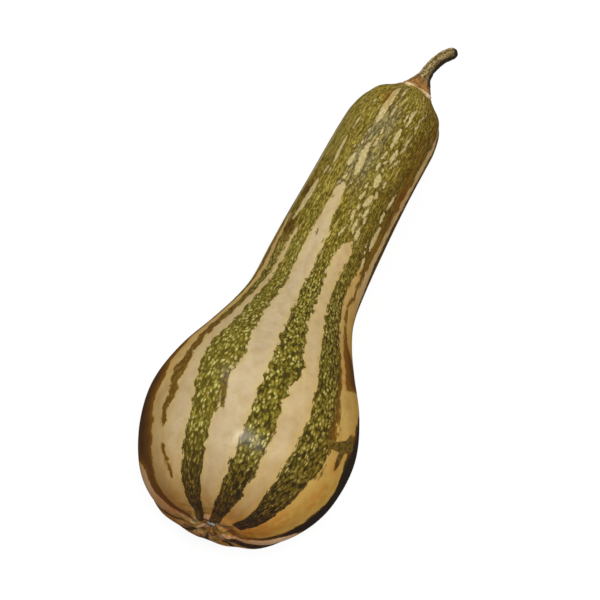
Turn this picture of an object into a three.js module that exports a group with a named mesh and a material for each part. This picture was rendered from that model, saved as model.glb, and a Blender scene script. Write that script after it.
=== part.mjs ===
// A long-necked striped squash, lying on its side as picked: a round bulb that narrows into a
// straight thick neck, and the dry five-sided stem that it hung from.
//
// Millimetres, +Z up. The fruit's long axis runs along +Y, from the blossom end towards the stem.
// The origin is the middle of the flat ground spot under the bulb, and the floor is z = 0.

import * as THREE from "three";

// Driving dimensions
const FRUIT_LENGTH = 460; // along the spine, from the blossom end to the foot of the stem
const BULB_RADIUS = 88;
const STEM_LENGTH = 54;
const STEM_RADIUS = 4.8; // at the middle of the stem
const STEM_RIDGES = 5;
const RIDGE_DEPTH = 0.08; // share of the stem's radius
const STEM_GAP = 0.3; // between the fruit's crown and the foot of the stem

// Fineness of the faces
const FRUIT_SIDES = 48;
const FRUIT_RINGS = 54;
const STEM_SIDES = 30;
const STEM_RINGS = 24;

// The fruit's outline from the dimple at the blossom end to the rim of the crown, as
// [share of FRUIT_LENGTH along the spine, share of BULB_RADIUS away from it].
const fruitOutline = [
  [0.007, 0],
  [0, 0.12],
  [0.004, 0.33],
  [0.022, 0.57],
  [0.065, 0.785],
  [0.13, 0.945],
  [0.205, 1],
  [0.28, 0.915],
  [0.355, 0.75],
  [0.42, 0.62],
  [0.48, 0.545],
  [0.56, 0.525],
  [0.67, 0.515],
  [0.86, 0.505],
  [0.913, 0.485],
  [0.952, 0.415],
  [0.98, 0.28],
  [1, 0.17],
];

// The stem's outline from the rim of its foot to the rim of its cut end, as
// [share of STEM_LENGTH along the stem, share of STEM_RADIUS away from its middle line].
const stemOutline = [
  [0, 3.15],
  [0.03, 3.15],
  [0.08, 2.55],
  [0.16, 1.8],
  [0.26, 1.35],
  [0.37, 1.08],
  [0.6, 0.98],
  [0.85, 1.02],
  [0.96, 1.12],
  [1, 1],
];

// The fruit's middle line: down from the bulb, level along the neck, and swaying a little.
const fruitSpine = new THREE.CubicBezierCurve3(
  new THREE.Vector3(5.5, -92, 99.5),
  new THREE.Vector3(-5, 91, 74),
  new THREE.Vector3(-19, 179, 34.5),
  new THREE.Vector3(7.5, 362, 43),
);

// The stem leaves the crown along the fruit's middle line and curls up and aside, towards +X.
function makeStemSpine() {
  const ahead = fruitSpine.getTangentAt(1);
  const foot = fruitSpine.getPointAt(1).addScaledVector(ahead, STEM_GAP);
  const rise = foot.clone().addScaledVector(ahead, 12);
  const bend = foot.clone().add(new THREE.Vector3(0.5, 34, 6.5));
  const tip = foot.clone().add(new THREE.Vector3(19.5, 46, 11));
  return new THREE.CubicBezierCurve3(foot, rise, bend, tip);
}

// A closed lathed body around Y, through a smooth outline that is given in shares.
function turnBody(shares, length, radius, rings, sides) {
  const rim = shares.map(([along, out]) => new THREE.Vector2(out * radius, along * length));
  const outline = new THREE.SplineCurve(rim).getPoints(rings);
  if (rim[0].x > 0) {
    outline.unshift(new THREE.Vector2(0, rim[0].y));
  }
  outline.push(new THREE.Vector2(0, rim[rim.length - 1].y));
  return new THREE.LatheGeometry(outline, sides);
}

// Bends a lathed body along a spine. The body's own Y runs along the spine, and its X stays level.
// ridge(angle) is the share by which a section stands out at that angle.
function bendAlong(body, spine, length, ridge = () => 0) {
  const place = body.getAttribute("position");
  const up = new THREE.Vector3(0, 0, 1);
  for (let i = 0; i < place.count; i++) {
    const across = new THREE.Vector2(place.getX(i), place.getZ(i));
    const along = THREE.MathUtils.clamp(place.getY(i) / length, 0, 1);
    const centre = spine.getPointAt(along);
    const ahead = spine.getTangentAt(along);
    const side = new THREE.Vector3().crossVectors(ahead, up).normalize();
    const top = new THREE.Vector3().crossVectors(side, ahead);
    across.multiplyScalar(1 + ridge(across.angle()));
    centre.addScaledVector(side, across.x);
    centre.addScaledVector(top, across.y);
    place.setXYZ(i, centre.x, centre.y, centre.z);
  }
  return body;
}

// The weight of the fruit presses its underside flat where it meets the floor.
function pressOnFloor(body) {
  const place = body.getAttribute("position");
  for (let i = 0; i < place.count; i++) {
    place.setZ(i, Math.max(place.getZ(i), 0));
  }
  return body;
}

function makeFruit() {
  const body = turnBody(fruitOutline, FRUIT_LENGTH, BULB_RADIUS, FRUIT_RINGS, FRUIT_SIDES);
  const rind = new THREE.MeshStandardMaterial({ color: 0xcdb383, roughness: 0.42, metalness: 0 });
  const fruit = new THREE.Mesh(pressOnFloor(bendAlong(body, fruitSpine, FRUIT_LENGTH)), rind);
  fruit.name = "fruit";
  return fruit;
}

function makeStem() {
  const body = turnBody(stemOutline, STEM_LENGTH, STEM_RADIUS, STEM_RINGS, STEM_SIDES);
  const ridge = (angle) => RIDGE_DEPTH * Math.cos(STEM_RIDGES * angle);
  const cork = new THREE.MeshStandardMaterial({ color: 0x8a7440, roughness: 0.85, metalness: 0 });
  const stem = new THREE.Mesh(bendAlong(body, makeStemSpine(), STEM_LENGTH, ridge), cork);
  stem.name = "stem";
  return stem;
}

const squash = new THREE.Group();
squash.add(makeFruit(), makeStem());
export default squash;
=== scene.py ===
import math
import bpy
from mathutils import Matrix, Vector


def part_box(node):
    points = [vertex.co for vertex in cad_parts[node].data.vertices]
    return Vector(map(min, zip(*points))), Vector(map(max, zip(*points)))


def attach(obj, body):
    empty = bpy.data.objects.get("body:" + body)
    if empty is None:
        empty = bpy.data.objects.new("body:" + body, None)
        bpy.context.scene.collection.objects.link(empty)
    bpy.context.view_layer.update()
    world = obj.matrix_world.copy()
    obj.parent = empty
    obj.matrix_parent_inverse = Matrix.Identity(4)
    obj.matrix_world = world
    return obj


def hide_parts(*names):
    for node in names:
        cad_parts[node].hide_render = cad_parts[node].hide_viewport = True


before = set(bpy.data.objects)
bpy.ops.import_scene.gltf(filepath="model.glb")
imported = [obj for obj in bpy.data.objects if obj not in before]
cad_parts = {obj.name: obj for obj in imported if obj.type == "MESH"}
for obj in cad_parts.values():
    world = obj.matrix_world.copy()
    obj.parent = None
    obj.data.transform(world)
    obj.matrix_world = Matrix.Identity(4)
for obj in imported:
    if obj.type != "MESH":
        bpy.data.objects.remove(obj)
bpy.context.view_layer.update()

from types import SimpleNamespace

import bpy
import numpy as np

# A long-necked striped pumpkin lying on its side, with its dry stem.
# The fruit's own map is used all through: "along" is the share of its length from the blossom end
# (0) to the stem (1), and an angle is 0 degrees on top and grows towards -X.


# small helpers

def smoothStep(values, low, high):
    # 0 below low, 1 above high, and an even S between them; high may be the smaller one
    share = np.clip((values - low) / (high - low), 0.0, 1.0)
    return share * share * (3.0 - 2.0 * share)


def strip(values, start, full, still, end):
    # 0 up to start, 1 from full to still, and 0 again past end; they may also run downwards
    return smoothStep(values, start, full) * smoothStep(values, end, still)


def smoothLine(points, count):
    # a Catmull-Rom spline through the points, cut into count - 1 even steps of its parameter
    points = np.asarray(points, float)
    spans = len(points) - 1
    place = np.linspace(0.0, spans, count)
    first = np.minimum(place.astype(int), spans - 1)
    t = (place - first)[:, None]
    before, start, end, after = (points[np.clip(first + k, 0, spans)] for k in (-1, 0, 1, 2))
    startPull = (end - before) / 2
    endPull = (after - start) / 2
    return ((2 * t**3 - 3 * t**2 + 1) * start + (t**3 - 2 * t**2 + t) * startPull
            + (3 * t**2 - 2 * t**3) * end + (t**3 - t**2) * endPull)


def evenSteps(line, count, crowdStart=0.0, crowdEnd=0.0, crowdLength=0.02):
    # the same line cut into count - 1 steps of equal length, or steps that are 1 + crowd times
    # closer at an end, fading away from it over the crowd length; also how far along each point is
    gaps = np.linalg.norm(np.diff(line, axis=0), axis=1)
    reach = np.concatenate([[0.0], np.cumsum(gaps)])
    crowd = (1.0 + crowdStart * np.exp(-reach / crowdLength)
             + crowdEnd * np.exp((reach - reach[-1]) / crowdLength))
    weight = np.concatenate([[0.0], np.cumsum(gaps * (crowd[1:] + crowd[:-1]) / 2)])
    wanted = np.interp(np.linspace(0.0, weight[-1], count), weight, reach)
    points = [np.interp(wanted, reach, line[:, k]) for k in range(line.shape[1])]
    return np.stack(points, axis=1), wanted


def bezierFrames(corners, shares):
    # centres and directions on a cubic Bezier curve at shares of its length: ahead along it,
    # side level, and top square to both
    p0, p1, p2, p3 = (np.asarray(p, float) for p in corners)

    def pointAt(t):
        return ((1 - t)**3 * p0 + 3 * (1 - t)**2 * t * p1 + 3 * (1 - t) * t**2 * p2 + t**3 * p3)

    def slopeAt(t):
        return 3 * ((1 - t)**2 * (p1 - p0) + 2 * (1 - t) * t * (p2 - p1) + t**2 * (p3 - p2))

    fine = np.linspace(0.0, 1.0, 2001)
    gaps = np.linalg.norm(np.diff(pointAt(fine[:, None]), axis=0), axis=1)
    reach = np.concatenate([[0.0], np.cumsum(gaps)])
    t = np.interp(np.clip(shares, 0.0, 1.0) * reach[-1], reach, fine)[:, None]
    ahead = slopeAt(t)
    ahead /= np.linalg.norm(ahead, axis=1)[:, None]
    side = np.cross(ahead, (0.0, 0.0, 1.0))
    side /= np.linalg.norm(side, axis=1)[:, None]
    return pointAt(t), ahead, side, np.cross(side, ahead), reach[-1]


def addObject(name, data):
    thing = bpy.data.objects.new(name, data)
    bpy.context.scene.collection.objects.link(thing)
    return thing


def lookAt(thing, aim, spot):
    # a camera or a lamp at a distance from a point, turned to look at it
    around, above = math.radians(spot["azimuth"]), math.radians(spot["elevation"])
    back = np.array([math.sin(around) * math.cos(above), -math.cos(around) * math.cos(above),
                     math.sin(above)])
    thing.location = np.array(aim) + spot["distance"] * back
    thing.rotation_euler = (math.pi / 2 - above, 0.0, around)


def waves(angle, along, seed, count, reach, turns):
    # a sum of count sine waves over the skin, seam-free round it: turns is the most waves round it
    # and reach the most waves along it; the result stays within about -1 to 1
    rng = np.random.default_rng(seed)
    total = np.zeros(np.broadcast(angle, along).shape)
    for _ in range(count):
        around = rng.integers(0, turns + 1)
        lengthwise = rng.uniform(0.2, 1.0) * reach
        start = rng.uniform(0.0, 2 * np.pi)
        total += np.sin(around * angle + 2 * np.pi * lengthwise * along + start)
    return total / math.sqrt(count)


def outward(reach, angle, side, top):
    # from the middle line to each point: its reach, turned through its angle from the top
    return reach[..., None] * (-np.sin(angle)[..., None] * side[:, None]
                               + np.cos(angle)[..., None] * top[:, None])


def closedTube(name, rings, firstPole, lastPole):
    # a grid of rings x sides points closed round its sides, with a fan of triangles at each end;
    # its UV map is the grid itself, unrolled
    count, sides = rings.shape[:2]
    uvRows = np.linspace(0.0, 1.0, count + 2)[1:-1]
    here = np.arange(count * sides).reshape(count, sides)
    right = np.roll(here, -1, axis=1)
    quads = np.stack([here[:-1], here[1:], right[1:], right[:-1]], axis=-1).reshape(-1, 4)
    low = count * sides
    high = low + 1
    firstFan = np.stack([here[0], right[0], np.full(sides, low)], axis=-1)
    lastFan = np.stack([here[-1], np.full(sides, high), right[-1]], axis=-1)
    points = np.concatenate([rings.reshape(-1, 3), [firstPole, lastPole]])

    mesh = bpy.data.meshes.new(name)
    mesh.from_pydata(points.tolist(), [], quads.tolist() + firstFan.tolist() + lastFan.tolist())

    column = np.broadcast_to(np.arange(sides), (count - 1, sides)) / sides
    nextColumn = column + 1 / sides
    lower = np.broadcast_to(uvRows[:-1, None], column.shape)
    upper = np.broadcast_to(uvRows[1:, None], column.shape)
    quadMap = np.stack([column, lower, column, upper, nextColumn, upper, nextColumn, lower], -1)
    middle = column[0] + 0.5 / sides
    edge = [np.full(sides, v) for v in (uvRows[0], 0.0, uvRows[-1], 1.0)]
    firstMap = np.stack([column[0], edge[0], nextColumn[0], edge[0], middle, edge[1]], -1)
    lastMap = np.stack([column[0], edge[2], middle, edge[3], nextColumn[0], edge[2]], -1)
    uv = np.concatenate([quadMap.ravel(), firstMap.ravel(), lastMap.ravel()])
    mesh.uv_layers.new(name="OFBake").uv.foreach_set("vector", uv * 0.996 + 0.002)
    mesh.polygons.foreach_set("use_smooth", np.ones(len(mesh.polygons), bool))
    mesh.update()

    return addObject(name, mesh)


def addNumber(piece, look, name, values, first=0.0, last=0.0):
    # one number for each point of a closed tube, and one for each pole
    values = np.broadcast_to(values, (look["rings"], look["sides"])).ravel()
    values = np.concatenate([values, [first, last]]).astype(np.float32)
    piece.data.attributes.new(name, "FLOAT", "POINT").data.foreach_set("value", values)


def addSkin(piece, look, angle, reach):
    # where each point lies on the skin rolled round a tube, and how far along it
    radius = look["rollRadius"]
    rolled = np.broadcast_arrays(radius * np.sin(angle), radius * np.cos(angle), reach)
    poles = [(0.0, 0.0, 0.0), (0.0, 0.0, float(reach[-1, 0]))]
    values = np.concatenate([np.stack(rolled, -1).reshape(-1, 3), poles]).astype(np.float32)
    layer = piece.data.attributes.new("skin", "FLOAT_VECTOR", "POINT")
    layer.data.foreach_set("vector", values.ravel())


# shader helpers

def newTree(name):
    material = bpy.data.materials.new(name)
    material.use_nodes = True
    material.node_tree.nodes.clear()
    return material, material.node_tree


def addNode(kind, inputs=None, settings=None, tree=None):
    # a node with its settings, and each input either linked or given a fixed value; it goes into
    # the tree of its linked inputs, so only a node without any is told which tree
    inputs = {name: value for name, value in (inputs or {}).items() if value is not None}
    linked = [name for name, value in inputs.items() if isinstance(value, bpy.types.NodeSocket)]
    tree = tree or inputs[linked[0]].id_data
    node = tree.nodes.new("ShaderNode" + kind)
    for name, value in (settings or {}).items():
        setattr(node, name, value)
    for name, value in inputs.items():
        if name in linked:
            tree.links.new(value, node.inputs[name])
        else:
            node.inputs[name].default_value = value
    return node


def readMark(tree, name):
    # a number or a vector kept on the points of a mesh
    return addNode("Attribute", None, {"attribute_name": name}, tree).outputs


def calc(operation, first, second=None, third=None):
    inputs = {0: first, 1: second, 2: third}
    return addNode("Math", inputs, {"operation": operation}).outputs[0]


def plus(first, second):
    return calc("ADD", first, second)


def times(first, second):
    return calc("MULTIPLY", first, second)


def scaled(value, factor, added):
    # value x factor + added
    return calc("MULTIPLY_ADD", value, factor, added)


def swing(value, width):
    # a value from 0 to 1 turned into one from minus half the width to half of it
    return scaled(value, width, -width / 2)


def fade(value, low, high, start=0.0, end=1.0):
    # start below low, end above high, and an even S between them
    settings = {"interpolation_type": "SMOOTHSTEP"}
    inputs = {"Value": value, "From Min": low, "From Max": high, "To Min": start, "To Max": end}
    return addNode("MapRange", inputs, settings).outputs["Result"]


def mixNumber(amount, first, second):
    return addNode("Mix", {0: amount, 2: first, 3: second}).outputs[0]


def mixColour(amount, first, second, blend="MIX"):
    first = (*first, 1.0) if isinstance(first, tuple) else first
    second = (*second, 1.0) if isinstance(second, tuple) else second
    settings = {"data_type": "RGBA", "blend_type": blend}
    return addNode("Mix", {0: amount, 6: first, 7: second}, settings).outputs[2]


def tint(amount, colour, factor):
    # the colour multiplied by another, as far as the amount says
    return mixColour(amount, colour, factor, "MULTIPLY")


def layered(colour, hue, shares, blend="MIX"):
    # colours laid over the first in turn, each as thick as its share says
    for name, share in shares.items():
        colour = mixColour(share, colour, hue[name], blend)
    return colour


def stretch(vector, scale, shift=(0.0, 0.0, 0.0)):
    inputs = {"Vector": vector, "Scale": scale, "Location": shift}
    return addNode("Mapping", inputs).outputs[0]


def noise(vector, scale, detail=3.0, roughness=0.55):
    inputs = {"Vector": vector, "Scale": scale, "Detail": detail, "Roughness": roughness}
    return addNode("TexNoise", inputs).outputs["Fac"]


def drawnOut(vector, flatness, scale, detail=3.0, roughness=0.55):
    # a noise drawn out along the skin
    return noise(stretch(vector, (1.0, 1.0, flatness)), scale, detail, roughness)


def cells(vector, flatness, scale):
    # cells drawn out along the skin: how far each point is from the middle of its own cell, and
    # three random numbers that belong to the cell
    inputs = {"Vector": stretch(vector, (1.0, 1.0, flatness)), "Scale": scale}
    found = addNode("TexVoronoi", inputs).outputs
    luck = addNode("SeparateColor", {0: found["Color"]}).outputs
    return found["Distance"], luck


def bump(height, distance, strength):
    inputs = {"Height": height, "Distance": distance, "Strength": strength}
    return addNode("Bump", inputs).outputs["Normal"]


def finish(inputs):
    # the surface itself: fixed numbers go straight onto the shader's own sockets
    shader = addNode("BsdfPrincipled", inputs)
    addNode("OutputMaterial", {"Surface": shader.outputs[0]})


# the camera, looking down along the fruit from beside its blossom end

view = {
    "aim": (-0.0096, 0.1261, 0.060),  # the point in the middle of the view
    "azimuth": 22.5,  # degrees round from -Y towards +X
    "elevation": 68.0,
    "distance": 1.2007,
    "lens": 85.0,  # millimetres, and so is the sensor
    "sensor": 36.0,
}


def makeCamera():
    camera = addObject("camera", bpy.data.cameras.new("camera"))
    camera.data.lens = view["lens"]
    camera.data.sensor_width = view["sensor"]
    lookAt(camera, view["aim"], view)
    bpy.context.scene.camera = camera
    print("camera placed")


makeCamera()


# the floor, the soft lamps and the pale surroundings

studio = {
    "floorHalf": 4.0,
    "floorColour": (0.18, 0.18, 0.18),
    # seen by the camera and in reflections only, so that the lit floor is white there
    "floorGlow": 0.885,
    "worldColour": (1.0, 1.0, 1.0),
    "worldLight": 0.34,
    "lamps": {  # azimuth and elevation in degrees, distance and size in metres, power in watts
        "frontLamp": {"azimuth": 31, "elevation": 74, "distance": 1.6, "size": 0.31, "power": 8.0},
        "rightLamp": {"azimuth": 80, "elevation": 50, "distance": 1.6, "size": 0.8, "power": 5.2},
        "backLamp": {"azimuth": -133, "elevation": 48, "distance": 1.7, "size": 0.7, "power": 7.2},
    },
    "lampsAim": (0.0, 0.12, 0.06),
}


def seenRay(tree):
    # 1 where the camera looks, directly or in a reflection or through glass
    path = addNode("LightPath", tree=tree).outputs
    seen = calc("MAXIMUM", path["Is Camera Ray"], path["Is Glossy Ray"])
    return calc("MAXIMUM", seen, path["Is Transmission Ray"])


def makeFloor():
    half = studio["floorHalf"]
    corners = [(-half, -half, 0.0), (half, -half, 0.0), (half, half, 0.0), (-half, half, 0.0)]
    mesh = bpy.data.meshes.new("floor")
    mesh.from_pydata(corners, [], [(0, 1, 2, 3)])
    material, tree = newTree("paleFloor")
    matt = {"Color": (*studio["floorColour"], 1.0)}
    matt = addNode("BsdfDiffuse", matt, None, tree)
    glow = {"Strength": times(seenRay(tree), studio["floorGlow"])}
    glow = addNode("Emission", glow)
    both = addNode("AddShader", {0: matt.outputs[0], 1: glow.outputs[0]})
    addNode("OutputMaterial", {"Surface": both.outputs[0]})
    mesh.materials.append(material)
    addObject("floor", mesh)


def makeLamps():
    for name, lamp in studio["lamps"].items():
        data = bpy.data.lights.new(name, "AREA")
        data.shape = "DISK"
        data.size = lamp["size"]
        data.energy = lamp["power"]
        lookAt(addObject(name, data), studio["lampsAim"], lamp)


def makeWorld():
    world = bpy.data.worlds.new("surroundings")
    world.use_nodes = True
    tree = world.node_tree
    tree.nodes.clear()
    strength = {"Value": seenRay(tree), "To Min": studio["worldLight"], "To Max": 1.0}
    strength = addNode("MapRange", strength).outputs[0]
    sky = {"Color": (*studio["worldColour"], 1.0), "Strength": strength}
    sky = addNode("Background", sky)
    addNode("OutputWorld", {"Surface": sky.outputs[0]})
    bpy.context.scene.world = world


bpy.context.scene.view_settings.view_transform = "Standard"
makeFloor()
makeLamps()
makeWorld()
print("floor, lamps and surroundings made")


# the fruit

fruit = {
    "rings": 400,
    "sides": 240,
    # [along, share of the bulb's radius], from the middle of the blossom end to the crown's rim
    "outline": [
        (0.0095, 0.0), (0.0085, 0.04), (0.0052, 0.09), (0.0025, 0.16), (0.0068, 0.33), (0.0238, 0.565),
        (0.0665, 0.777), (0.13, 0.932), (0.205, 0.986), (0.28, 0.904), (0.355, 0.742), (0.42, 0.615),
        (0.48, 0.54), (0.56, 0.522), (0.67, 0.513), (0.86, 0.50), (0.911, 0.478), (0.949, 0.413),
        (0.9745, 0.285), (0.9985, 0.16),
    ],
    # the middle line's Bezier corners, as shares of the solid's box
    "spine": [(0.532, 0.006, 0.575), (0.480, 0.405, 0.4275), (0.393, 0.596, 0.199),
              (0.5435, 0.995, 0.2485)],
    "endShift": -0.0017,  # how far the blossom end as a whole lies off the middle line, sideways
    "scarShift": (0.0023, 0.0080),  # how far the scar lies off it as well, sideways and up
    "scarSpread": 0.050,  # the radius within which the rings lean towards it
    # the valleys between the ribs, in degrees: each carries a green band
    "valleys": [-149, -114, -84, -46, -12, 20, 65, 104, 140, 176],
    "ribDepth": {"bulb": 0.003, "blossomEnd": 0.022, "stemEnd": 0.030},  # shares of the radius
    "growthDepth": 0.0006,  # uneven growth, in metres like the next six
    "foldDepth": 0.0022,  # the ribs' sharp creases round the blossom scar
    "knotDepth": 0.0014,  # uneven lumps among them
    "rollRadius": 0.066,  # of the tube that the skin's map is rolled round: about its mean radius
    "leastRadius": 0.012,  # nearer the middle line than this, a degree counts as long as here
    "scarRadius": 0.0026,
    "scarHeight": 0.0008,
    "edgeWobble": 0.55,  # degrees, of the bands' edges
    # each green band: how far from the scar it stops in millimetres, then [along, its right edge,
    # its left edge] in degrees
    "bands": {
        "top": (
            8, (0.0, -21, -5), (0.02, -22, -5), (0.045, -22, -5), (0.09, -20.5, -5), (0.13, -20, -4),
            (0.17, -18.5, -5), (0.22, -19, -4.5), (0.23, -22.5, -4.5), (0.26, -24, -5),
            (0.275, -20, -5), (0.305, -19.5, -4), (0.35, -18, -4), (0.435, -19.5, -3), (0.52, -18, -4),
            (0.57, -20, -3), (0.59, -31, -3), (0.61, -31, -1), (0.655, -31, 2), (0.69, -31, 3),
            (0.705, -31, 9),
        ),
        "left": (
            12, (0.0, 10, 28), (0.02, 10.5, 27.5), (0.04, 12, 28), (0.09, 13.5, 27.5),
            (0.125, 14, 26.5), (0.165, 12, 28), (0.22, 11, 31), (0.24, 9.5, 31.5), (0.26, 10, 31.5),
            (0.305, 12, 28.5), (0.35, 14, 30), (0.435, 14, 31), (0.52, 15, 31), (0.57, 15.5, 32),
            (0.59, 14.5, 34), (0.61, 12.5, 36), (0.63, 14, 38), (0.665, 12.5, 40), (0.685, 12, 42),
            (0.695, 8, 42), (0.705, 5, 42),
        ),
        "leftThin": (
            36, (0.0, 42, 40), (0.028, 38.2, 36.6), (0.036, 37.0, 38.6), (0.05, 38.0, 41.0),
            (0.06, 39.8, 43.2), (0.068, 41.6, 44.6), (0.075, 42.8, 44.2), (0.078, 45, 43),
            (0.086, 45, 43), (0.091, 43.6, 44.6), (0.103, 44, 46.5), (0.126, 42.4, 47.4),
            (0.15, 39.3, 44.9), (0.174, 39.3, 45.4), (0.20, 37.8, 47.6), (0.225, 38.6, 44.2),
            (0.25, 38.8, 44), (0.28, 38, 45.5), (0.35, 38, 46), (0.435, 37.5, 46.5), (0.52, 36.5, 50),
            (0.58, 35, 52), (0.605, 31, 56), (0.64, 31, 58), (0.66, 31, 64), (1.0, 36, 64),
        ),
        "leftLimb": (
            17, (0.0, 46, 63.5), (0.003, 54, 68), (0.01, 58.5, 71.5), (0.023, 59.5, 73.5),
            (0.038, 59, 73), (0.049, 58, 72.5), (0.06, 57.5, 76), (0.075, 56, 90), (0.114, 55.5, 92),
            (0.14, 57, 92), (0.157, 57.5, 90), (0.175, 54.5, 86), (0.195, 53, 84), (0.215, 55, 82),
            (0.225, 56, 81), (0.25, 55, 79), (0.30, 54.5, 75), (0.35, 55, 72), (0.40, 56, 70),
            (0.46, 57, 68), (0.60, 60, 68), (0.66, 56, 74), (1.0, 56, 78),
        ),
        "right": (
            30, (0.0, -57, -42), (0.04, -56, -37), (0.09, -54.5, -34), (0.125, -56, -34),
            (0.17, -54.5, -34), (0.22, -51.5, -33), (0.26, -50, -32), (0.305, -51, -31),
            (0.435, -48, -31), (0.52, -50, -33), (0.56, -53, -34), (0.575, -59, -33), (0.59, -63, -28),
            (0.61, -67, -26), (0.65, -69.5, -26), (0.72, -71.5, -26), (0.76, -71.5, -26),
            (0.84, -71, -26), (0.93, -70, -26), (1.0, -68, -26),
        ),
        "rightBrown": (
            100, (0.275, -55, -56), (0.29, -62, -55.5), (0.31, -77, -55.5), (0.335, -86, -55),
            (0.362, -77, -54.5), (0.385, -64, -55), (0.41, -60, -55.5), (0.437, -59.5, -55.5),
            (0.465, -57.8, -54.2), (0.502, -65.5, -60), (0.532, -65.2, -58.3), (0.567, -66, -56),
            (0.60, -67, -55), (0.62, -62, -55), (1.0, -60, -55),
        ),
        "rightLimb": (
            19, (0.0, -91, -84), (0.006, -91, -85), (0.022, -90, -84.5), (0.04, -93, -85),
            (0.053, -97, -85.5), (0.075, -101, -83), (0.10, -103, -82.5), (0.125, -102, -80.5),
            (0.143, -101, -76), (0.163, -99, -71), (0.184, -97, -69), (0.206, -94, -66.5),
            (0.217, -93, -69), (0.235, -93, -71), (0.25, -92, -74), (0.27, -91, -77), (0.30, -90, -80),
            (0.40, -92, -87), (0.45, -92, -85), (0.506, -94, -84), (0.54, -94, -82.5),
            (0.577, -94, -80.5), (0.615, -94, -78), (0.66, -95, -78), (0.72, -96, -81),
            (0.78, -96, -82), (0.93, -97, -81), (1.0, -97, -79),
        ),
        "underRight": (
            16, (0.0, -128, -107), (0.05, -125, -108), (0.13, -123, -107), (0.26, -120, -108),
            (0.43, -121, -108), (0.60, -128, -102), (1.0, -134, -98),
        ),
        "under": (
            24, (0.05, -153, -144), (0.13, -157, -140), (0.26, -155, -142), (0.43, -157, -141),
            (0.60, -162, -136), (1.0, -166, -134),
        ),
        "underMiddle": (
            14, (0.05, 172, 180), (0.13, 167, 184), (0.26, 169, 182), (0.43, 168, 184),
            (0.60, 162, 190), (1.0, 158, 194),
        ),
        "underLeft": (
            20, (0.05, 136, 144), (0.13, 132, 148), (0.26, 134, 147), (0.43, 132, 148),
            (0.60, 126, 154), (1.0, 122, 158),
        ),
        "leftUnder": (
            15, (0.05, 100, 108), (0.13, 96, 112), (0.26, 98, 111), (0.43, 96, 112), (0.60, 90, 118),
            (1.0, 84, 122),
        ),
    },
    # rusty patches and darkened ones: size in millimetres, along, degrees
    "rustSpots": [
        (6, 0.985, 40), (7, 0.935, 20), (6, 0.92, 17), (7, 0.905, -57), (7, 0.87, -56), (6, 0.955, -40),
        (7, 0.755, -67), (6, 0.665, 52), (6, 0.70, 52), (7, 0.56, 47), (5, 0.315, -53.5),
        (4, 0.297, -53), (6, 0.155, -65), (9, 0.10, -70), (10, 0.03, -66),
    ],
    "darkSpots": [
        (6, 0.585, 46), (5, 0.67, 49), (5, 0.91, 16), (6, 0.55, -64), (6, 0.70, -63), (6, 0.80, -57),
    ],
    # pale streaks in the green: half width in millimetres, then [along, degrees] from end to end
    "streaks": [
        (2.7, (0.962, 12.5), (0.92, 10.5), (0.895, 10.2), (0.852, 9.5)),
        (0.8, (0.908, -1), (0.874, -1)), (0.7, (0.975, 3.5), (0.945, 1), (0.92, 0.5)),
        (2.6, (0.807, 4), (0.78, 3.5), (0.755, 1.5), (0.722, 0.5)), (0.7, (0.716, 0.5), (0.70, 0.5)),
        (1.4, (0.774, 13), (0.739, 13)), (0.9, (0.722, 9), (0.705, 10.5)),
        (0.7, (0.704, 13), (0.691, 13)), (0.6, (0.84, 12.5), (0.817, 12.5)),
        (0.6, (0.811, 12.5), (0.795, 12)), (0.6, (0.793, 18), (0.782, 18)),
        (0.7, (0.85, -1), (0.83, -2)), (0.7, (0.83, -2), (0.80, -2)),
        (1.4, (0.81, 34.5), (0.77, 33.5), (0.741, 31.5)), (0.9, (0.86, 33), (0.826, 33.5)),
        (1.2, (0.735, 36), (0.712, 37.5)), (0.7, (0.73, 31), (0.713, 31)),
        (0.7, (0.91, 28), (0.896, 28)), (0.7, (0.915, 43), (0.90, 41)),
        (2.7, (0.70, 41), (0.66, 40.5), (0.625, 42), (0.598, 46)), (0.6, (0.976, -30), (0.957, -27)),
        (0.6, (0.945, -38), (0.925, -39)), (1.0, (0.925, -24), (0.905, -22), (0.874, -23)),
        (0.9, (0.905, -18.5), (0.882, -17.5)), (0.7, (0.898, -35), (0.88, -33)),
        (0.6, (0.922, -37.5), (0.90, -32.5)), (1.7, (0.866, -19.5), (0.85, -19.5), (0.815, -20)),
        (0.9, (0.845, -34.5), (0.817, -33)), (0.8, (0.87, -35), (0.85, -33.5), (0.836, -30.5)),
        (1.6, (0.822, -28), (0.787, -26.5)), (1.2, (0.805, -18), (0.784, -17)),
        (0.8, (0.81, -36.5), (0.79, -33), (0.776, -30.5)), (1.0, (0.788, -22.5), (0.776, -22)),
        (1.3, (0.775, -17.5), (0.753, -17)), (1.0, (0.769, -23.5), (0.76, -23.5)),
        (2.3, (0.753, -24), (0.72, -25)), (1.0, (0.747, -34.5), (0.73, -34.5)),
        (1.0, (0.726, -16.5), (0.706, -15.5)), (1.3, (0.718, -30), (0.70, -31.5)),
        (2.1, (0.703, -28), (0.669, -24)), (1.2, (0.702, -18), (0.678, -17)),
        (1.3, (0.677, -31), (0.647, -28)), (1.2, (0.673, -19), (0.656, -19)),
        (1.3, (0.655, -17.5), (0.627, -17.5)), (0.8, (0.653, -24.5), (0.644, -24.5)),
        (1.0, (0.651, -32.5), (0.636, -32)), (1.3, (0.64, -25), (0.615, -24.5), (0.603, -26)),
        (1.4, (0.628, -30.5), (0.593, -32)), (0.7, (0.618, -18), (0.598, -15), (0.575, -12)),
        (1.2, (0.747, -54), (0.717, -53), (0.70, -52)), (1.5, (0.693, -51), (0.667, -51)),
        (2.1, (0.664, -55), (0.63, -54.5), (0.60, -55)), (0.7, (0.61, -48), (0.598, -48)),
        (0.9, (0.594, -50), (0.586, -50)), (1.4, (0.583, -53), (0.555, -54.5)),
        # painted highlight: this last streak is a pale line along the left edge of the neck
        (1.9, (0.90, 66), (0.82, 66), (0.72, 64), (0.60, 63)),
    ],
    # dark marks on the pale ground, in the same way
    "dabs": [
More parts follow.
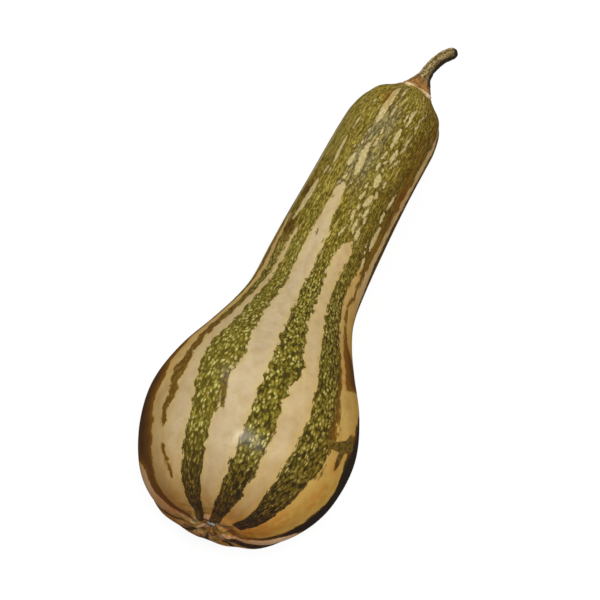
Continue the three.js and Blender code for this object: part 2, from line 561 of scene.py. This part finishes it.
        (2.0, (0.200, 14.5), (0.168, 12), (0.136, 9.8)), (0.8, (0.142, -20), (0.118, -20.5)),
        (7.5, (0.160, -52), (0.170, -57.5), (0.182, -64), (0.204, -71)),
        (3.0, (0.184, -63), (0.160, -64), (0.140, -65)),
        (1.6, (0.184, -64), (0.20, -65), (0.216, -67.5)), (0.9, (0.135, -57.5), (0.11, -58)),
        (0.8, (0.238, -51), (0.20, -53.5)), (0.7, (0.582, 9.5), (0.565, 7.5)),
        (0.6, (0.605, -22), (0.595, -25), (0.585, -22)), (0.6, (0.60, -19), (0.59, -17)),
    ],
    # one colour, or two that a noise mixes
    "colours": {
        # the bulb's green, from its dark net to its flecks, and the rim of the bands
        "net": ((0.045, 0.029, 0.001), (0.057, 0.043, 0.002)),
        "lull": (0.185, 0.145, 0.010),
        "paleNet": (0.20, 0.155, 0.014),
        "fleck": ((0.37, 0.31, 0.040), (0.70, 0.61, 0.21)),
        "bandRim": (0.085, 0.052, 0.002),
        # the neck's green, in the order of its layers
        "neck": ((0.225, 0.145, 0.003), (0.195, 0.165, 0.008)),
        "brightFibre": (0.45, 0.345, 0.040),
        "sallow": (0.52, 0.395, 0.065),
        # painted highlight: a greyish sheen laid down the middle of the neck
        "bloom": (0.38, 0.35, 0.21),
        "darkFibre": (0.088, 0.056, 0.001),
        "neckNet": (0.078, 0.050, 0.001),
        "freckle": (0.56, 0.45, 0.085),
        "darkGrain": (0.080, 0.052, 0.002),
        "dash": (0.58, 0.46, 0.12),
        "bead": (0.52, 0.42, 0.12),
        "streakRim": (0.080, 0.052, 0.002),
        # what the green is multiplied by where shade is painted, and the bands and dabs without flecks
        "shade": (0.62, 0.40, 0.08),
        "brown": ((0.25, 0.105, 0.004), (0.145, 0.052, 0.001)),
        # painted shade: the darkest brown, deep inside the plain bands at the limbs
        "limbShadeBrown": (0.055, 0.022, 0.001),
        "neckBrown": (0.29, 0.150, 0.004),
        # nearly black: partly the band's own colour and partly painted shade
        "black": ((0.085, 0.042, 0.003), (0.020, 0.009, 0.0005)),
        "dab": ((0.085, 0.050, 0.003), (0.20, 0.125, 0.012)),
        # the ground between the bands
        "cream": ((0.58, 0.445, 0.26), (0.64, 0.50, 0.29)),
        "besideBand": (0.63, 0.485, 0.215),
        "speck": (0.50, 0.35, 0.16),
        "blush": (0.60, 0.41, 0.24),
        # darker where the fruit turns under: partly painted shade
        "tan": ((0.53, 0.29, 0.038), (0.69, 0.42, 0.085)),
        # painted shade: a deeper orange low on the sides of the bulb
        "ripe": (0.70, 0.42, 0.085),
        # partly painted light: paler where the neck's sides turn away from the lamps
        "peach": (0.64, 0.425, 0.175),
        # partly painted light: paler where the blossom end's sides turn away from the lamps
        "flesh": (0.84, 0.58, 0.38),
        "streak": ((0.50, 0.39, 0.14), (0.70, 0.57, 0.27)),
        # what all of it is multiplied by in patches; rust has one for the ground and one for green
        "mottle": (0.80, 0.73, 0.60),
        "rust": ((0.95, 0.68, 0.42), (1.0, 0.70, 0.40)),
        # what the skin is multiplied by towards the blossom end, partly painted shade, then the folds'
        # own colours, with crease and scarRim as painted shade
        # deepGreen, darkTip and dusk darken the skin towards the scar: partly painted shade
        "deepGreen": (0.46, 0.38, 0.22),
        "darkTip": (0.40, 0.30, 0.18),
        "dusk": (0.82, 0.68, 0.48),
        "amber": (0.90, 0.66, 0.36),
        "fold": ((0.13, 0.035, 0.006), (0.52, 0.23, 0.045)),
        "paleFold": (0.72, 0.47, 0.26),
        "oliveFold": (0.27, 0.20, 0.030),
        "pinkFold": (0.50, 0.27, 0.17),
        # painted shade in the creases
        "crease": (0.085, 0.026, 0.006),
        "scar": ((0.50, 0.46, 0.40), (0.78, 0.75, 0.70)),
        # painted shade in the dimple round the scar
        "scarRim": (0.14, 0.075, 0.035),
        "crown": (0.62, 0.40, 0.17),
    },
}


def degreesFrom(skin, angle):
    # how far round each point is from an angle, between -180 and 180
    return (skin.degrees - angle + 180) % 360 - 180


def spotShare(spots, skin):
    # soft round spots: 1 in the middle of each and fading to 0 at about twice its size, and nearly
    # twice as long as wide
    total = np.zeros(skin.degrees.shape)
    for size, spotAlong, spotAngle in spots:
        aside = degreesFrom(skin, spotAngle) * skin.perDegree
        gone = (skin.along - spotAlong) * skin.length * 0.55
        total = np.maximum(total, np.exp(-(aside**2 + gone**2) / (size * 0.001)**2))
    return total


def bandReach(skin):
    # how far inside the nearest band's edge each point is, in metres and negative outside; an edge
    # is a straight line between its stations plus a seeded wobble, angles become lengths by the
    # local radius, and a band spreads a little towards its blunt end near the scar
    best = np.full(skin.degrees.shape, -1.0)
    along = skin.along
    wobble = fruit["edgeWobble"] * (1.0 + 0.8 * smoothStep(along, 0.5, 0.7))
    spread = 1.0 + 0.4 * smoothStep(skin.fromScar, 0.040, 0.010)
    for seed, (stop, *stations) in enumerate(fruit["bands"].values()):
        stops, rightEdge, leftEdge = np.array(stations, float).T
        right = np.interp(along, stops, rightEdge) + wobble * waves(0.0, along, 10 + seed, 9, 46.0, 0)
        left = np.interp(along, stops, leftEdge) + wobble * waves(0.0, along, 40 + seed, 9, 46.0, 0)
        half = (left - right) / 2 * spread
        inside = (half - np.abs(degreesFrom(skin, (left + right) / 2))) * skin.perDegree
        best = np.maximum(best, np.minimum(inside, skin.fromScar - stop * 0.001))
    return best


def markReach(marks, skin):
    # how far inside the nearest mark each point is, in metres: its width swells and shrinks
    # between its two ends as a root of a parabola, less the distance to its middle line
    best = np.full(skin.degrees.shape, -1.0)
    for halfWidth, *stations in marks:
        stops, turns = np.array(sorted(stations), float).T
        share = (skin.along - stops[0]) / (stops[-1] - stops[0])
        inside = np.clip(share, 0.0, 1.0)
        width = halfWidth * 0.001 * 1.15 * (4 * inside * (1 - inside)) ** 0.45
        aside = degreesFrom(skin, np.interp(skin.along, stops, turns)) * skin.perDegree
        past = (share - inside) * (stops[-1] - stops[0]) * skin.length
        best = np.maximum(best, width - np.hypot(aside, past))
    return best


def makeFruit():
    # a ring of points round each step of the bent middle line: the ring's radius is the outline's
    # plus the height of the ribs, the growth, the folds and the knots there
    low, high = (np.array(corner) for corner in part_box("fruit"))
    size = high - low
    bulbRadius = size[0] / 2
    corners = [low + size * np.array(share) for share in fruit["spine"]]
    length = bezierFrames(corners, np.array([0.0]))[4]

    # the outline in steps along its own length, closer together at both ends
    outline = smoothLine(fruit["outline"], 6000) * (length, bulbRadius)
    outline, skinLength = evenSteps(outline, fruit["rings"] + 1, 3.0, 2.0)
    outline, skinLength = outline[1:], skinLength[1:, None]
    along = outline[:, 0:1] / length
    radius = outline[:, 1:2]
    centre, ahead, side, top, length = bezierFrames(corners, along[:, 0])
    degrees = np.linspace(0.0, 360.0, fruit["sides"], endpoint=False)[None, :]
    turned = (degrees + 180) % 360 - 180
    angle = np.radians(degrees)

    # ribs that deepen towards both ends, and the uneven growth of a real fruit; the phase gains a
    # full turn from each valley to the next
    valleys = np.array(fruit["valleys"], float)
    count = len(valleys)
    stops = np.concatenate([valleys - 360, valleys, valleys + 360])
    phase = np.interp(turned, stops, 2 * np.pi * np.arange(-count, 2 * count))
    nearBlossom = smoothStep(skinLength, 0.13, 0.03)
    nearStem = smoothStep(along, 0.88, 0.98)
    depth = fruit["ribDepth"]
    bulge = -radius * np.cos(phase) * (depth["bulb"] + depth["blossomEnd"] * nearBlossom
                                       + depth["stemEnd"] * nearStem)
    growth = waves(angle, along, 3, 14, 3.5, 4) * smoothStep(radius, 0.0, 0.03)
    bulge = bulge + fruit["growthDepth"] * growth
    # near the scar the ribs are plump folds with sharp creases between them, and uneven knots
    swerve = 0.5 * np.sin(2 * angle + 1.0) * smoothStep(skinLength, 0.03, 0.0)
    fold = np.abs(np.sin(phase / 2 + swerve)) ** 0.6
    foldShare = smoothStep(skinLength, 0.002, 0.008) * smoothStep(skinLength, 0.044, 0.014)
    plump = 0.8 + 0.45 * np.sin(3 * angle + 0.6) + 0.25 * np.sin(7 * angle)
    knots = waves(angle, skinLength, 9, 14, 60.0, 5)
    lift = (fruit["foldDepth"] * (fold - 0.72) * plump + fruit["knotDepth"] * knots) * foldShare
    # the corky button in the middle of the scar
    button = smoothStep(skinLength, fruit["scarRadius"] * 1.25, fruit["scarRadius"] * 0.7)
    lift = lift + fruit["scarHeight"] * button * (1 + 0.25 * waves(angle, along * 0, 6, 5, 0.0, 6))
    reach = radius + bulge + 0.45 * lift * smoothStep(skinLength, 0.004, 0.010)

    # the rings near the scar lean towards it, and nothing sinks into the floor
    lean = np.clip(1 - radius / fruit["scarSpread"], 0.0, 1.0) ** 2 * (skinLength < 0.1)
    aside, up = fruit["scarShift"]
    centre = centre + lean * (aside * side + up * top)
    centre = centre + fruit["endShift"] * smoothStep(along, 0.12, 0.02) * side
    across = outward(reach, angle, side, top)
    points = centre[:, None] + across - lift[..., None] * ahead[:, None]
    points[..., 2] = np.maximum(points[..., 2], low[2])
    firstPole = points[0].mean(axis=0) - 0.0001 * ahead[0]
    piece = closedTube("fruitSkin", points, firstPole, centre[-1])
    print("fruit:", len(piece.data.polygons), "faces, lowest ring",
          round(float((centre[:, 2] - radius[:, 0]).min() * 1000), 1), "mm")

    skin = SimpleNamespace(degrees=degrees, turned=turned, along=along, length=length,
                           fromScar=skinLength, crease=(1 - fold) * foldShare, knots=knots,
                           perDegree=np.maximum(radius, fruit["leastRadius"]) * np.pi / 180)
    markFruit(piece, skin)
    return piece


def markFruit(piece, skin):
    # what the shader reads: where each point lies on the skin, and how much it has of each mark,
    # tone and patch, from 0 to 1 and from the angles and shares of the length where they begin
    turned, along, fromScar = skin.turned, skin.along, skin.fromScar

    def mark(name, values, first=0.0, last=0.0):
        addNumber(piece, fruit, name, values, first, last)

    addSkin(piece, fruit, np.radians(skin.degrees), fromScar)
    mark("along", along, 0.0, 1.0)
    mark("fromScar", fromScar, 0.0, 0.5)
    mark("fromCrown", fromScar[-1] - fromScar, 0.5, 0.0)
    mark("crease", skin.crease)
    mark("knots", skin.knots)
    mark("bandReach", bandReach(skin), -0.01, 0.0)
    mark("dabReach", markReach(fruit["dabs"], skin), -0.01, -0.01)
    mark("streakReach", markReach(fruit["streaks"], skin), -0.01, -0.01)
    mark("rust", spotShare(fruit["rustSpots"], skin))
    # a darker tan on both sides where the fruit turns under: partly painted shade
    mark("under", np.maximum(smoothStep(turned, 18, 88), smoothStep(turned, 0, -85)), 0.5, 0.5)

    # painted shade: the green is painted darker on the right, a little on the left, and in the dark
    # spots; the band on the left of the top is paler than the rest, so its shade is below 0
    shaded = smoothStep(turned, -22, -75) * (1.0 - 0.35 * smoothStep(along, 0.74, 0.86))
    shaded = np.maximum(shaded, 0.10 * smoothStep(turned, 38, 72) * smoothStep(along, 0.84, 0.68))
    shaded = np.maximum(shaded, spotShare(fruit["darkSpots"], skin))
    mark("shaded", shaded - 0.6 * strip(turned, 7, 13, 32, 38), 0.5, 0.0)

    # the bands low on either side have no flecks and are partly painted shade: brown on the left and
    # nearly black on the right, with brown beside it, which on the neck starts nearer the side
    lowDown = smoothStep(along, 0.45, 0.3)
    black = strip(turned, -68, -77, -98, -118) * lowDown
    brown = strip(turned, 48, 55, 92, 118) * lowDown
    thin = smoothStep(turned, 34, 37) * smoothStep(along, 0.13, 0.07)
    brown = np.maximum(brown, strip(turned, 34, 37, 92, 118) * (0.55 * lowDown + 0.35 * thin))
    brown = np.maximum(brown, black * smoothStep(along, 0.05, 0.0))
    inward = turned + 8.0 * smoothStep(along, 0.50, 0.62)
    rightBrown = smoothStep(inward, -46, -52.5) * smoothStep(along, 0.15, 0.20)
    upTo = 0.85 * smoothStep(turned, -74, -68) * smoothStep(along, 0.95, 0.75)
    brown = np.maximum(brown, rightBrown * np.maximum(upTo, smoothStep(along, 0.42, 0.39)))
    mark("brown", brown)
    mark("black", black * smoothStep(along, 0.0, 0.05))

    # beads crowd the green on the right of the neck, it is paler on the left and by the crown, and
    # a greyish sheen is painted down its middle: a painted highlight
    mark("beaded", strip(turned, -42, -34, -15, -9) * smoothStep(along, 0.58, 0.64))
    sallow = strip(turned, 4, 48, 80, 130) * smoothStep(along, 0.69, 0.82)
    mark("sallow", np.maximum(sallow, 0.8 * smoothStep(along, 0.92, 0.965)), 0.0, 0.7)
    mark("bloom", strip(turned, 18, 4, -6, -17) * strip(along, 0.66, 0.75, 0.88, 0.95))

    # the ground is pale peach low on both sides of the neck and pale fleshy pink low on both sides of
    # the blossom end, both partly painted light, and a painted shade orange low on the right of the
    # bulb
    peach = np.maximum(strip(turned, -56, -66, -84, -100), 0.9 * strip(turned, 50, 60, 84, 96))
    mark("peach", peach * smoothStep(along, 0.45, 0.55))
    fleshy = np.maximum(strip(turned, 62, 72, 98, 112), strip(turned, -88, -93, -108, -116))
    mark("fleshy", fleshy * smoothStep(along, 0.075, 0.03))
    ripe = strip(turned, -25, -85, -150, -200) * smoothStep(along, 0.36, 0.04)
    leftShadeOrange = strip(turned, 38, 52, 95, 120) * strip(along, 0.14, 0.22, 0.42, 0.52)
    mark("ripe", np.maximum(ripe, 0.5 * leftShadeOrange), 0.4, 0.0)


def readRind(tree):
    # the marks, and the textures that more than one colour uses
    names = ("bandReach", "dabReach", "streakReach", "along", "fromScar", "fromCrown", "crease",
             "knots", "under", "rust", "shaded", "brown", "black", "beaded", "sallow", "bloom",
             "peach", "fleshy", "ripe")
    rind = SimpleNamespace(**{name: readMark(tree, name)["Fac"] for name in names})
    skin = rind.skin = readMark(tree, "skin")["Vector"]
    rind.plain = calc("MAXIMUM", rind.brown, rind.black)
    rind.onNeck = fade(rind.along, 0.42, 0.64)
    rind.fibres = drawnOut(skin, 0.15, 540.0, 3.0, 0.6)
    rind.softFibres = drawnOut(skin, 0.12, 330.0, 2.0)
    rind.grain = drawnOut(skin, 0.55, 620.0, 2.0, 0.6)
    rind.tone = fade(noise(skin, 28.0, 4.0), 0.35, 0.65)

    # the cells' coordinates are pushed about a little, so that no mark is a plain oval
    jostle = addNode("TexNoise", {"Vector": skin, "Scale": 260.0, "Detail": 2.0})
    jostle = {0: jostle.outputs["Color"], 1: (0.0030, 0.0030, 0.0045), 2: skin}
    jostled = addNode("VectorMath", jostle, {"operation": "MULTIPLY_ADD"}).outputs[0]
    rind.fleckAway, rind.fleckLuck = cells(jostled, 0.40, 580.0)
    rind.beadAway, rind.beadLuck = cells(jostled, 0.28, 520.0)
    rind.dashAway, rind.dashLuck = cells(jostled, 0.20, 250.0)
    return rind


def findGreen(rind):
    # where the green is: the bands with serrated edges and the dabs, less the pale streaks
    wander = mixNumber(rind.onNeck, swing(noise(rind.skin, 130.0, 3.0), 0.007),
                       swing(rind.softFibres, 0.008))
    ragged = times(plus(swing(rind.fleckLuck[0], 0.0022), wander),
                   fade(rind.fromScar, 0.02, 0.09, 0.25, 1.0))
    rind.edge = plus(rind.bandReach, ragged)
    # the plain bands have softer edges
    softEdge = times(rind.edge, scaled(rind.plain, -0.6, 1.0))
    rind.dabEdge = plus(rind.dabReach, scaled(rind.grain, 0.0050, -0.0024))
    inBand = calc("MAXIMUM", fade(softEdge, -0.0005, 0.0005), fade(rind.dabEdge, -0.0009, 0.0007))
    streakEdge = plus(rind.streakReach, swing(rind.beadLuck[0], 0.0010))
    rind.streakEdge = plus(streakEdge, swing(rind.grain, 0.0030))
    rind.inStreak = fade(rind.streakEdge, -0.0006, 0.0006)
    rind.green = times(inBand, calc("SUBTRACT", 1.0, rind.inStreak))


def bulbGreen(rind, hue):
    # flecks: domed pale cells in a dark net, fewer of them bright where shade is painted
    patterned = calc("SUBTRACT", 1.0, rind.plain)
    luck = rind.fleckLuck[2]
    lucky = times(fade(luck, 0.0, 0.5, 0.35, 1.0), scaled(rind.shaded, -0.18, 1.0))
    rind.fleck = times(times(fade(rind.fleckAway, 0.56, 0.18), lucky), patterned)
    green = layered(mixColour(rind.tone, *hue["net"]), hue, {
        "lull": times(fade(rind.fleckAway, 0.80, 0.42), patterned),
        "paleNet": times(rind.shaded, -0.6),
    })
    green = mixColour(rind.fleck, green, mixColour(fade(luck, 0.3, 1.0), *hue["fleck"]))
    return layered(green, hue, {"bandRim": fade(rind.edge, 0.0032, 0.0006, 0.0, 0.6)})


def neckGreen(rind, hue):
    # fibres, a net with freckles in it, and rows of dashes and beads: longer cells, only some of
    # them pale, and more of them where it is beaded; it is darkest right round the pale streaks
    # fewer bright fibres, freckles and dashes where shade is painted
    calm = scaled(rind.shaded, -0.8, 1.0)
    freckle = times(fade(rind.fleckAway, 0.44, 0.16),
                    fade(rind.fleckLuck[1], 0.30, 0.85, 0.0, 0.9))
    luck = scaled(rind.sallow, 0.3, rind.dashLuck[1])
    dash = times(fade(rind.dashAway, 0.44, 0.16), fade(luck, 0.30, 0.85))
    dash = times(dash, fade(rind.fibres, 0.36, 0.58, 0.25, 1.0))
    luck = scaled(rind.beaded, 0.35, rind.beadLuck[2])
    bead = times(fade(rind.beadAway, 0.58, 0.16), fade(luck, 0.50, 1.10))
    return layered(mixColour(rind.tone, *hue["neck"]), hue, {
        "brightFibre": times(fade(rind.fibres, 0.46, 0.62), calm),
        "sallow": times(rind.sallow, 0.75),
        # painted highlight: the greyish sheen down the middle of the neck
        "bloom": times(rind.bloom, 0.60),
        "darkFibre": fade(rind.fibres, 0.48, 0.36, 0.0, 0.7),
        "neckNet": fade(rind.fleckAway, 0.36, 0.62, 0.0, 0.7),
        "freckle": times(freckle, calm),
        "darkGrain": fade(rind.grain, 0.46, 0.34, 0.0, 0.5),
        "dash": times(dash, calm),
        "bead": times(bead, 0.85),
        "streakRim": fade(rind.streakEdge, -0.0022, -0.0007, 0.0, 0.5),
    })


def bandColour(rind, hue):
    colour = mixColour(rind.onNeck, bulbGreen(rind, hue), neckGreen(rind, hue))
    # painted shade: the green darkened on the right, a little on the left and in the dark spots
    colour = tint(rind.shaded, colour, hue["shade"])
    # the bands without flecks are darker inside, painted shade where they turn away at the limbs, and
    # the brown is streaky where it meets the green of the neck
    deep = plus(rind.edge, swing(rind.softFibres, 0.010))
    brown = layered(mixColour(fade(deep, 0.0, 0.012), *hue["brown"]), hue, {
        "limbShadeBrown": fade(deep, 0.010, 0.024, 0.0, 0.8),
        "neckBrown": times(rind.onNeck, 0.7),
    })
    streaky = fade(rind.softFibres, 0.40, 0.60, 0.15, 1.0)
    brownShare = times(rind.brown, mixNumber(rind.onNeck, 1.0, streaky))
    colour = mixColour(brownShare, colour, brown)
    colour = mixColour(rind.black, colour, mixColour(fade(deep, 0.0, 0.004), *hue["black"]))
    dab = mixColour(fade(rind.grain, 0.40, 0.60), *hue["dab"])
    return mixColour(fade(rind.dabEdge, -0.0012, 0.0006), colour, dab)


def groundColour(rind, hue):
    # cream on top, yellower beside the bands, and a darker tan where the fruit turns under, partly
    # painted shade
    drift = noise(rind.skin, 22.0, 4.0, 0.6)
    ground = layered(mixColour(fade(drift, 0.35, 0.65), *hue["cream"]), hue, {
        "besideBand": fade(rind.edge, -0.006, -0.0005),
        "speck": fade(noise(rind.skin, 420.0, 2.0), 0.58, 0.72, 0.0, 0.35),
        "blush": fade(noise(rind.skin, 95.0, 3.0, 0.6), 0.50, 0.68, 0.0, 0.4),
    })
    ground = mixColour(rind.under, ground, mixColour(fade(drift, 0.30, 0.70), *hue["tan"]))
    ground = layered(ground, hue, {
        # the painted shade orange, then peach and flesh, which are partly painted light
        "ripe": times(rind.ripe, 0.8),
        "peach": rind.peach,
        "flesh": rind.fleshy,
    })
    streak = mixColour(fade(rind.grain, 0.35, 0.65), *hue["streak"])
    return mixColour(rind.inStreak, ground, streak)


def weatherSkin(rind, hue, colour):
    # a faint mottle everywhere, and rusty patches
    mottle = drawnOut(rind.skin, 0.7, 120.0, 4.0, 0.6)
    colour = tint(fade(mottle, 0.32, 0.60, 0.55, 0.0), colour, hue["mottle"])
    rusty = times(rind.rust, fade(noise(rind.skin, 160.0, 3.0), 0.35, 0.62))
    return tint(rusty, colour, mixColour(rind.green, *hue["rust"]))


def ageBlossomEnd(rind, hue, colour):
    # towards the scar the green darkens and the ground darkens and reddens, partly painted shade; the
    # folds round it are patched with orange, olive and fleshy pink
    fromScar = rind.fromScar
    deepened = times(fade(fromScar, 0.115, 0.050),
                     calc("SUBTRACT", rind.green, times(rind.plain, 0.8)))
    place = addNode("TexCoord", tree=rind.skin.id_data).outputs["Object"]
    patch = noise(place, 135.0, 2.0, 0.5)
    otherPatch = noise(stretch(place, (1.0, 1.0, 1.0), (0.3, 0.1, 0.2)), 150.0, 2.0, 0.5)
    colour = layered(colour, hue, {
        "deepGreen": deepened,
        "darkTip": times(deepened, fade(fromScar, 0.040, 0.016)),
        "dusk": times(fade(fromScar, 0.105, 0.035), scaled(rind.ripe, -0.5, 1.0)),
        "amber": times(fade(fromScar, 0.062, 0.030), fade(otherPatch, 0.38, 0.58, 0.5)),
    }, "MULTIPLY")
    fold = layered(mixColour(fade(patch, 0.38, 0.48), *hue["fold"]), hue, {
        "paleFold": fade(patch, 0.53, 0.62),
        "oliveFold": fade(otherPatch, 0.54, 0.62, 0.0, 0.85),
        "pinkFold": fade(otherPatch, 0.44, 0.36, 0.0, 0.7),
    })
    folded = fade(plus(fromScar, swing(patch, 0.030)), 0.036, 0.016, 0.0, 0.95)
    colour = mixColour(times(folded, scaled(rind.green, -0.8, 1.0)), colour, fold)
    # painted shade in the creases between the folds and between the lowest knots
    recessShade = calc("MAXIMUM", times(rind.crease, fade(fromScar, 0.036, 0.014, 0.0, 0.65)),
                  times(fade(rind.knots, -0.4, -1.6, 0.0, 0.7), fade(fromScar, 0.030, 0.012)))
    # the scar is corky, with a dark rim of painted shade in the dimple round it
    colour = layered(colour, hue, {"crease": recessShade, "scarRim": fade(fromScar, 0.0052, 0.0040)})
    scar = mixColour(noise(rind.skin, 900.0), *hue["scar"])
    return mixColour(fade(fromScar, 0.0040, 0.0032), colour, scar)


def paintFruit(piece):
    material, tree = newTree("stripedRind")
    hue = fruit["colours"]
    rind = readRind(tree)
    findGreen(rind)
    colour = mixColour(rind.green, groundColour(rind, hue), bandColour(rind, hue))
    colour = ageBlossomEnd(rind, hue, weatherSkin(rind, hue, colour))
    # the crown is pale and fleshy where the stem's toes sit
    crown = plus(rind.fromCrown, times(rind.softFibres, 0.006))
    colour = mixColour(fade(crown, 0.0075, 0.0045), colour, hue["crown"])
    # the flecks and the neck's fibres stand up a little
    height = scaled(times(rind.fleck, rind.green), 0.4, noise(rind.skin, 160.0, 3.0))
    height = scaled(times(rind.fibres, rind.onNeck), 0.5, height)
    roughness = scaled(noise(rind.skin, 60.0, 3.0), 0.16, 0.26)
    finish({"Base Color": colour, "Roughness": roughness, "IOR": 1.45,
            "Normal": bump(height, 0.0006, 0.5), "Specular IOR Level": 0.0,
            "Coat Weight": 0.026, "Coat Roughness": 0.20, "Coat IOR": 4.0})
    piece.data.materials.append(material)


fruitSkin = makeFruit()
paintFruit(fruitSkin)
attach(fruitSkin, "root")
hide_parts("fruit")


# the stem

stem = {
    "rings": 240,
    "sides": 200,
    "length": 0.054,
    "radius": 0.0048,
    # [along, share of the radius]: a skirt that dips into the crown, the flared foot, the narrow
    # shaft, its swollen tip and the hollow cut end
    "outline": [
        (-0.13, 3.3), (-0.095, 3.68), (-0.065, 3.76), (-0.035, 3.62), (0.0, 3.28), (0.04, 2.96),
        (0.09, 2.66), (0.16, 2.17), (0.26, 1.55), (0.37, 1.20), (0.6, 1.12), (0.82, 1.12),
        (0.91, 1.11), (0.97, 1.03), (1.015, 0.82), (1.045, 0.52), (1.05, 0.3), (1.045, 0.0),
    ],
    # the middle line's Bezier corners, from its foot, in metres
    "spine": [(0.0, 0.0, 0.0), (0.0017, 0.0119, 0.0006), (0.0005, 0.034, 0.0065),
              (0.0195, 0.046, 0.011)],
    "footGap": (0.00004, 0.0003, 0.0),  # metres, from the crown's end to the foot; the skirt bridges it
    "rollRadius": 0.006,  # of its map's tube
    "ridges": 5,
    "ridgeDepth": 0.11,
    "toeDepth": 0.13,
    "corkDepth": 0.05,  # shares of the radius, like the two above
    "grainDepth": 0.00016,  # metres, like the next
    "toeSag": 0.0009,  # how far the toes reach down the crown
    "twist": 0.7,  # radians from end to end
    "turn": 0.9,  # radians
    # the way the painted shade on the stem faces: down and into the hollow of the bend
    "darkSide": (0.90, -0.335, -0.265),  # the way the hollow of the bend faces
    # one colour, or two that a noise mixes
    "colours": {
        "cork": ((0.17, 0.105, 0.028), (0.66, 0.50, 0.22)),
        "blotch": (0.13, 0.082, 0.022),
        "knob": (0.74, 0.60, 0.33),
        "foot": ((0.21, 0.075, 0.014), (0.56, 0.30, 0.085)),
        "rim": ((0.60, 0.37, 0.15), (0.93, 0.77, 0.50)),
        # painted shade in the furrows
        "furrowShade": (0.08, 0.045, 0.014),
        # painted shade on the underside
        "undersideShade": (0.014, 0.009, 0.003),
        "cut": (0.018, 0.013, 0.007),
    },
}


def makeStem():
    # a ring of points round each step of the bent middle line: the ring's radius is the outline's
    # times one plus the ridges and the cork there
    low, high = (np.array(corner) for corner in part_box("fruit"))
    foot = low + (high - low) * np.array(fruit["spine"][-1]) + stem["footGap"]
    corners = [foot + np.array(corner) for corner in stem["spine"]]
    outline = smoothLine(stem["outline"], 4000) * (stem["length"], stem["radius"])
    outline, skinLength = evenSteps(outline, stem["rings"] + 1, 0.0, 1.0, 0.004)
    outline, skinLength = outline[:-1], skinLength[:-1, None]
    along = outline[:, 0:1] / stem["length"]
    radius = outline[:, 1:2]
    centre, ahead, side, top, length = bezierFrames(corners, along[:, 0])
    # past either end the middle line runs straight on
    past = (along - np.clip(along, 0.0, 1.0)) * length
    centre = centre + past * ahead

    # ridges run down into the toes of the foot, with a finer grain of cork between them
    angle = np.linspace(0.0, 2 * np.pi, stem["sides"], endpoint=False)[None, :]
    twisted = stem["ridges"] * (angle + stem["turn"] + stem["twist"] * along)
    ridge = 2 * np.abs(np.cos(twisted / 2 + 0.25 * np.sin(2 * angle))) ** 1.3 - 1.1
    onFoot = smoothStep(along, 0.22, 0.0)
    onTip = smoothStep(along, 0.9, 1.0)
    depth = stem["ridgeDepth"] * (1 - 0.5 * onTip) * (1 - onFoot) + stem["toeDepth"] * onFoot
    cork = waves(angle, along, 21, 26, 9.0, 16)
    grain = waves(angle, along, 22, 26, 26.0, 40)
    reach = radius * (1 + depth * ridge + stem["corkDepth"] * cork)
    reach = reach + stem["grainDepth"] * grain * smoothStep(radius, 0.001, 0.004)
    across = outward(reach, angle, side, top)
    # the toes reach further down the crown than the gaps between them
    sag = stem["toeSag"] * ridge * smoothStep(along, 0.10, -0.03)
    points = centre[:, None] + across - sag[..., None] * ahead[:, None]
    piece = closedTube("stemCork", points, centre[0], points[-1].mean(axis=0))

    # what the shader reads
    addSkin(piece, stem, angle, skinLength)
    addNumber(piece, stem, "along", along, -0.1, 1.03)
    # painted shade in the furrows between the ridges
    furrowShade = np.clip(0.35 - ridge - 0.45 * cork, 0.0, 1.0) * (1 - 0.8 * onFoot)
    addNumber(piece, stem, "furrowShade", furrowShade)
    addNumber(piece, stem, "cut", smoothStep(along, 0.965, 1.015), 0.0, 1.0)
    # painted shade: how far the cork faces down and into the hollow of the bend, where it is painted
    # nearly black
    hollow = (across @ np.array(stem["darkSide"])) / np.maximum(reach, 1e-6)
    undersideShade = smoothStep(hollow, 0.30, 0.58)
    addNumber(piece, stem, "undersideShade", undersideShade * smoothStep(along, -0.03, 0.2), 0.0, 0.5)
    print("stem:", len(piece.data.polygons), "faces")
    return piece


def paintStem(piece):
    material, tree = newTree("dryCork")
    hue = stem["colours"]
    skin = readMark(tree, "skin")["Vector"]
    names = ("along", "furrowShade", "undersideShade", "cut")
    along, furrowShade, undersideShade, cut = (readMark(tree, name)["Fac"] for name in names)
    streak = drawnOut(skin, 0.30, 900.0, 4.0, 0.6)
    blotch = drawnOut(skin, 0.6, 520.0, 3.0)
    knob = noise(skin, 800.0, 3.0)
    colour = layered(mixColour(fade(streak, 0.38, 0.60), *hue["cork"]), hue, {
        "blotch": fade(blotch, 0.46, 0.58, 0.0, 0.85),
        "knob": fade(knob, 0.58, 0.68, 0.0, 0.8),
    })
    # the foot is orange brown and its rim pale and fleshy
    foot = mixColour(fade(knob, 0.38, 0.62), *hue["foot"])
    colour = mixColour(fade(scaled(blotch, 0.20, along), 0.40, 0.26), colour, foot)
    rim = mixColour(fade(knob, 0.40, 0.62), *hue["rim"])
    onRim = fade(scaled(blotch, 0.08, scaled(knob, 0.03, along)), 0.022, -0.010)
    colour = layered(mixColour(onRim, colour, rim), hue, {
        # painted shade in the furrows
        "furrowShade": times(furrowShade, 0.6),
        # painted shade on the underside
        "undersideShade": times(undersideShade, 0.97),
        "cut": cut,
    })
    finish({"Base Color": colour, "Roughness": 0.8, "IOR": 1.4, "Specular IOR Level": 0.2,
            "Normal": bump(plus(streak, knob), 0.0007, 0.7)})
    piece.data.materials.append(material)


stemCork = makeStem()
paintStem(stemCork)
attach(stemCork, "root")
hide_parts("stem")
